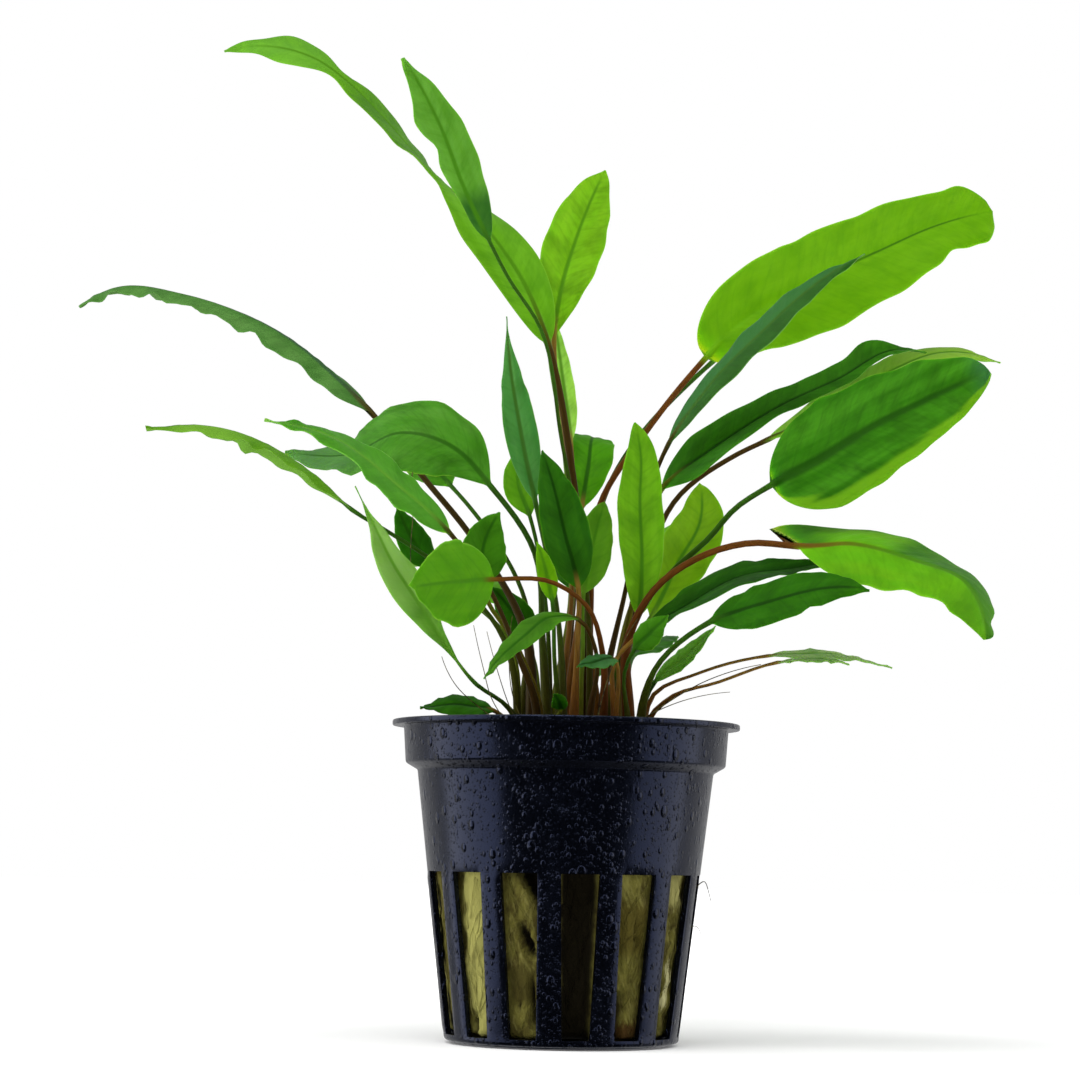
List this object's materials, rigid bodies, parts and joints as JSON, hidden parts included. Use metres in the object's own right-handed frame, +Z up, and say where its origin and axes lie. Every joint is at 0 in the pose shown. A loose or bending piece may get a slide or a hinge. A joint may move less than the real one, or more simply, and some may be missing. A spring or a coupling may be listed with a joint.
{
  "type": "potted cryptocoryne",
  "caption": "Aquarium plant with broad, arching, lance-shaped leaves on thin stems, growing from rock wool in a small slotted black net pot that stands on its flat base.",
  "frame": {"origin": "centre of the pot's flat base, where it rests", "axes": "+Z up along the pot's axis; -Y is the side seen in the picture; +X is to the right in the picture"},
  "size_m": [0.1552, 0.0912, 0.1651],
  "materials": {
    "black_plastic": "gloss",
    "wool": "matte",
    "crown": "matte",
    "yellow_green_leaf": "satin",
    "mid_green_leaf": "satin",
    "dark_green_leaf": "satin",
    "blue_green_leaf": "satin",
    "waxy_green_leaf": "satin"
  },
  "bodies": {
    "root": {"pot": "black_plastic", "rock_wool": "wool", "crown": "crown", "leaf_arching_top_left": "yellow_green_leaf", "leaf_upright_tall": "mid_green_leaf", "leaf_broad_top": "yellow_green_leaf", "leaf_narrow_behind_stems": "waxy_green_leaf", "leaf_bent_back": "mid_green_leaf", "leaf_blue_green_upright": "blue_green_leaf", "leaf_pale_behind_stems": "yellow_green_leaf", "leaf_folded_center": "dark_green_leaf", "leaf_folded_center_right": "mid_green_leaf", "leaf_small_pale_center": "yellow_green_leaf", "leaf_broad_left": "mid_green_leaf", "leaf_waxy_left": "waxy_green_leaf", "leaf_ruffled_upper_left": "blue_green_leaf", "leaf_ruffled_lower_left": "mid_green_leaf", "leaf_bright_facing": "yellow_green_leaf", "leaf_dark_left": "dark_green_leaf", "leaf_folded_left": "mid_green_leaf", "leaf_long_narrow_left": "waxy_green_leaf", "leaf_small_arching_front": "mid_green_leaf", "leaf_small_dark_front": "dark_green_leaf", "leaf_newest_front": "dark_green_leaf", "leaf_over_rim_left": "dark_green_leaf", "leaf_dark_behind_left": "dark_green_leaf", "leaf_folded_upright_right": "waxy_green_leaf", "leaf_broad_behind_right": "yellow_green_leaf", "leaf_small_right": "mid_green_leaf", "leaf_large_upper_right": "yellow_green_leaf", "leaf_blue_green_right": "blue_green_leaf", "leaf_dark_right": "dark_green_leaf", "leaf_large_right": "dark_green_leaf", "leaf_behind_large_right": "yellow_green_leaf", "leaf_drooping_right": "yellow_green_leaf", "leaf_dark_low_right": "dark_green_leaf", "leaf_oval_low_right": "dark_green_leaf", "leaf_thin_lowest_right": "waxy_green_leaf", "leaf_thin_lowest_front": "waxy_green_leaf", "leaf_narrow_low_right": "waxy_green_leaf", "leaf_back_left": "mid_green_leaf", "leaf_back_right": "mid_green_leaf", "leaf_back_center": "dark_green_leaf", "leaf_back_low_left": "mid_green_leaf", "leaf_back_low_right": "dark_green_leaf", "leaf_back_lowest": "mid_green_leaf", "leaf_back_high_right": "mid_green_leaf", "leaf_back_upright": "dark_green_leaf"}
  },
  "joints": []
}
